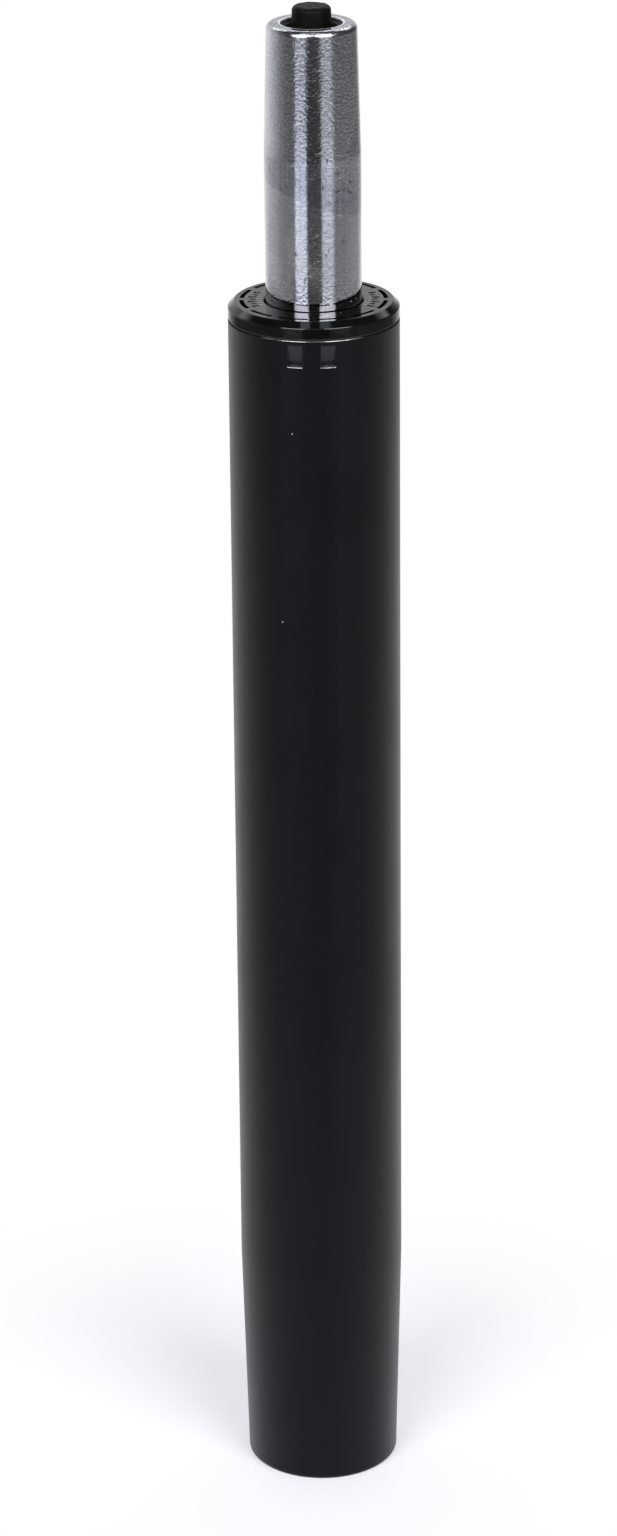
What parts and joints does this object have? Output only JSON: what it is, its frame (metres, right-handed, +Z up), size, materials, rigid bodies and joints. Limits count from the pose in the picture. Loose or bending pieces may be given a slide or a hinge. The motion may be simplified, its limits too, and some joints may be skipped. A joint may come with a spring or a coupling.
{
  "type": "gas lift column",
  "caption": "Lockable gas spring for a swivelling seat: tapered black column, silver pressure tube with a seat cone, release button on top, turning on a thrust bearing.",
  "frame": {"origin": "centre of the column's foot end face, where the part stands", "axes": "+Z up the column's axis towards the release button, -Y towards the front pair of pressed tabs"},
  "size_m": [0.05, 0.05, 0.4638],
  "materials": {
    "black_powder_coat": "satin black powder coat",
    "black_moulded_plastic": "black moulded plastic, slightly glossy",
    "zinc_plated_tube": "drawn steel tube, bright zinc plated, fine lengthwise grain",
    "button_plastic": "matt black plastic",
    "chromed_rod": "ground and chromed steel",
    "plated_steel": "zinc plated pressed steel",
    "bearing_steel": "hardened and polished steel",
    "spring_steel": "dark oiled spring steel",
    "cage_plastic": "natural nylon",
    "bump_rubber": "black rubber",
    "seal_rubber": "black nitrile rubber",
    "guide_plastic": "natural acetal",
    "liner_steel": "honed steel tube",
    "valve_plastic": "dark grey glass-filled nylon",
    "valve_brass": "turned brass"
  },
  "bodies": {
    "column": {"column_tube": "black_powder_coat", "guide_bush": "black_moulded_plastic", "foot_plate": "plated_steel", "lower_bearing_race": "bearing_steel"},
    "bearing_cage": {"ball_cage": "cage_plastic", "bearing_balls": "bearing_steel"},
    "rod": {"piston_rod": "chromed_rod", "upper_bearing_race": "bearing_steel", "shoulder_washer": "plated_steel", "bump_stop": "bump_rubber", "retaining_washer": "plated_steel", "retaining_clip": "spring_steel", "piston": "guide_plastic", "piston_seal": "seal_rubber", "piston_support_washer": "plated_steel", "piston_top_washer": "plated_steel"},
    "gas_cylinder": {"pressure_tube": "zinc_plated_tube", "end_washer": "plated_steel", "rod_guide": "guide_plastic", "rod_seal": "seal_rubber", "seal_washer": "plated_steel", "liner_foot_ring": "guide_plastic", "liner_tube": "liner_steel", "valve_body": "valve_plastic", "valve_body_o_ring": "seal_rubber", "valve_seat": "valve_brass", "valve_seat_o_ring": "seal_rubber", "stem_spacer": "guide_plastic", "stem_o_rings": "seal_rubber"},
    "release": {"release_button": "button_plastic", "actuating_pin": "bearing_steel", "valve_stem": "bearing_steel"}
  },
  "joints": [
    {"name": "swivel", "type": "hinge", "parent": "column", "child": "rod", "pos_m": [0, 0, 0.01395], "axis": [0, 0, 1], "continuous": true},
    {"name": "cage_swivel", "type": "hinge", "parent": "column", "child": "bearing_cage", "pos_m": [0, 0, 0.01395], "axis": [0, 0, 1], "continuous": true},
    {"name": "height_slide", "type": "slide", "parent": "rod", "child": "gas_cylinder", "axis": [0, 0, 1], "range_m": [0, 0.265]},
    {"name": "button_press", "type": "slide", "parent": "gas_cylinder", "child": "release", "axis": [0, 0, -1], "range_m": [0, 0.0035], "stiffness_N_per_m": 3000}
  ],
  "couplings": [
    {"joint": "cage_swivel", "follows": "swivel", "ratio": 0.5}
  ]
}
